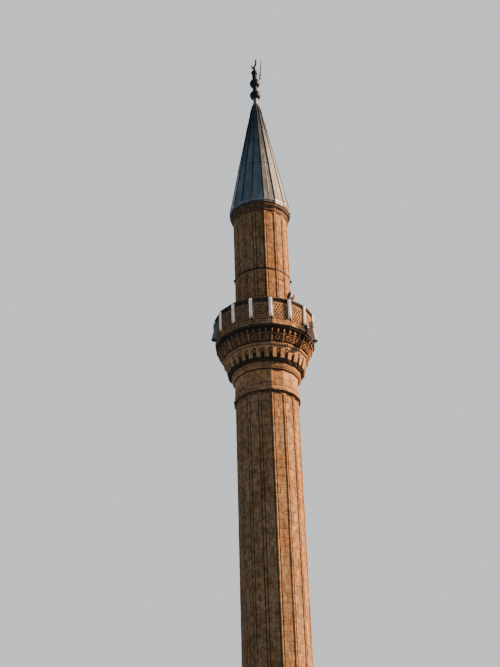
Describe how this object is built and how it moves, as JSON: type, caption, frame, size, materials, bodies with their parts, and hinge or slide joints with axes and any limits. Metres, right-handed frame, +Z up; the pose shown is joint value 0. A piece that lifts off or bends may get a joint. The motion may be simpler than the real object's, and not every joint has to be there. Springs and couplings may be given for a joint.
{
  "type": "minaret",
  "caption": "Slender stone minaret: square base, ribbed many-sided shaft, corbelled balcony with a pierced balustrade, ribbed upper shaft, pointed lead cone and a crescent finial.",
  "frame": {"origin": "centre of the base's underside, at ground level", "axes": "+Z up the tower; -Y is the front, the side that the picture looks at; +X is to the right seen from there; both doorways are on the +Y side"},
  "size_m": [3.5393, 3.4464, 38.3596],
  "materials": {
    "limestone": "weathered dressed limestone, matte",
    "lead": "dull weathered lead sheet",
    "finial_metal": "old gilding gone dark",
    "iron": "rusted iron",
    "speaker_paint": "weathered grey paint"
  },
  "bodies": {
    "root": {"base_plinth": "limestone", "base_wall_front": "limestone", "base_wall_left": "limestone", "base_wall_right": "limestone", "base_wall_back_left": "limestone", "base_wall_back_right": "limestone", "base_wall_over_door": "limestone", "base_cornice": "limestone", "transition_front": "limestone", "transition_right": "limestone", "transition_back": "limestone", "transition_left": "limestone", "shaft_foot_moulding": "limestone", "shaft_wall_front": "limestone", "shaft_wall_right": "limestone", "shaft_wall_back": "limestone", "shaft_wall_left": "limestone", "collar_moulding": "limestone", "collar_drum": "limestone", "carved_ring": "limestone", "niche_course": "limestone", "corbel_tier_lower": "limestone", "corbel_tier_upper": "limestone", "balcony_floor": "limestone", "balustrade_1": "limestone", "balustrade_2": "limestone", "balustrade_3": "limestone", "balustrade_4": "limestone", "balustrade_5": "limestone", "balustrade_6": "limestone", "balustrade_7": "limestone", "balustrade_8": "limestone", "balcony_rail": "limestone", "upper_wall_front": "limestone", "upper_wall_right": "limestone", "upper_wall_left": "limestone", "upper_wall_back_left": "limestone", "upper_wall_back_right": "limestone", "upper_wall_over_door": "limestone", "iron_hoop": "iron", "upper_cornice": "limestone", "cone_eave": "lead", "cone_sheets_lower": "lead", "cone_sheets_middle": "lead", "cone_sheets_upper": "lead", "cone_cap": "lead", "finial_neck": "finial_metal", "finial_ball_lower": "finial_metal", "finial_ball_middle": "finial_metal", "finial_ball_upper": "finial_metal", "finial_crescent": "finial_metal", "lightning_rod": "iron", "speaker_left": "speaker_paint", "speaker_right": "speaker_paint", "speaker_on_rail": "speaker_paint"}
  },
  "joints": []
}
